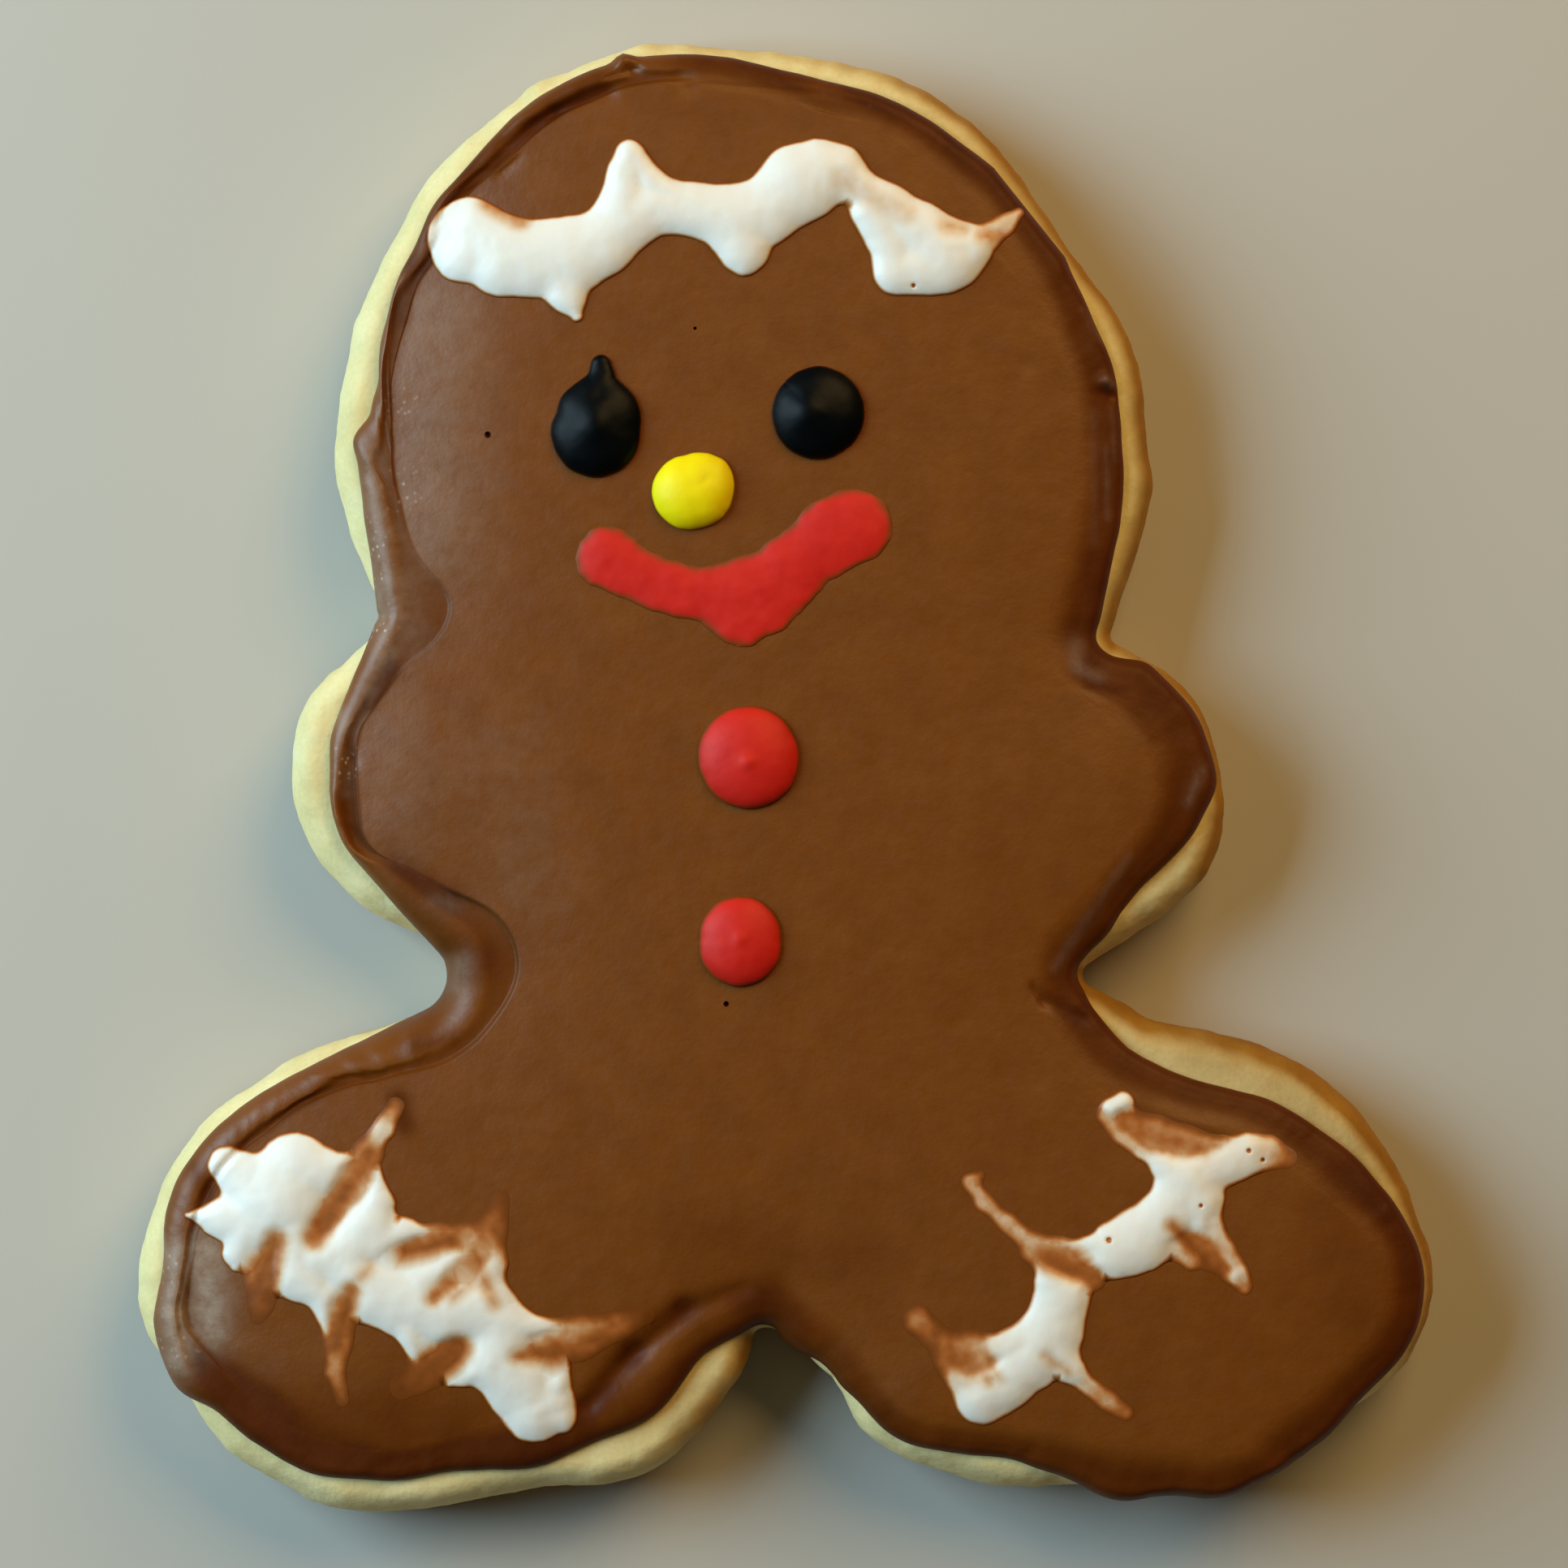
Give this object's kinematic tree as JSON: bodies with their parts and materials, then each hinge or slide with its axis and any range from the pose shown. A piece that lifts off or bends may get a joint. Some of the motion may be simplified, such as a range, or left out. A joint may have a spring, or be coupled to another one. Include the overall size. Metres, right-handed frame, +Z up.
{
  "type": "gingerbread man cookie",
  "caption": "Iced gingerbread man cookie: a flat baked biscuit figure with brown icing and piped eyes, nose, mouth, buttons, a headband and leg trims.",
  "frame": {"origin": "the middle of the underside, on the table", "axes": "+X to the right of the face as it is looked at, +Y to the top of the head, +Z up out of the iced face"},
  "size_m": [0.0836, 0.0951, 0.0108],
  "materials": {
    "biscuit": "matte baked crumb",
    "brown_icing": "satin dried royal icing",
    "white_icing": "satin dried royal icing",
    "black_icing": "glossy dried royal icing",
    "yellow_icing": "satin dried royal icing",
    "red_icing": "satin dried royal icing"
  },
  "bodies": {
    "root": {"biscuit": "biscuit", "brown_icing": "brown_icing", "white_headband": "white_icing", "white_trim_left_leg": "white_icing", "white_trim_right_leg": "white_icing", "left_eye": "black_icing", "right_eye": "black_icing", "nose": "yellow_icing", "mouth": "red_icing", "upper_button": "red_icing", "lower_button": "red_icing"}
  },
  "joints": []
}
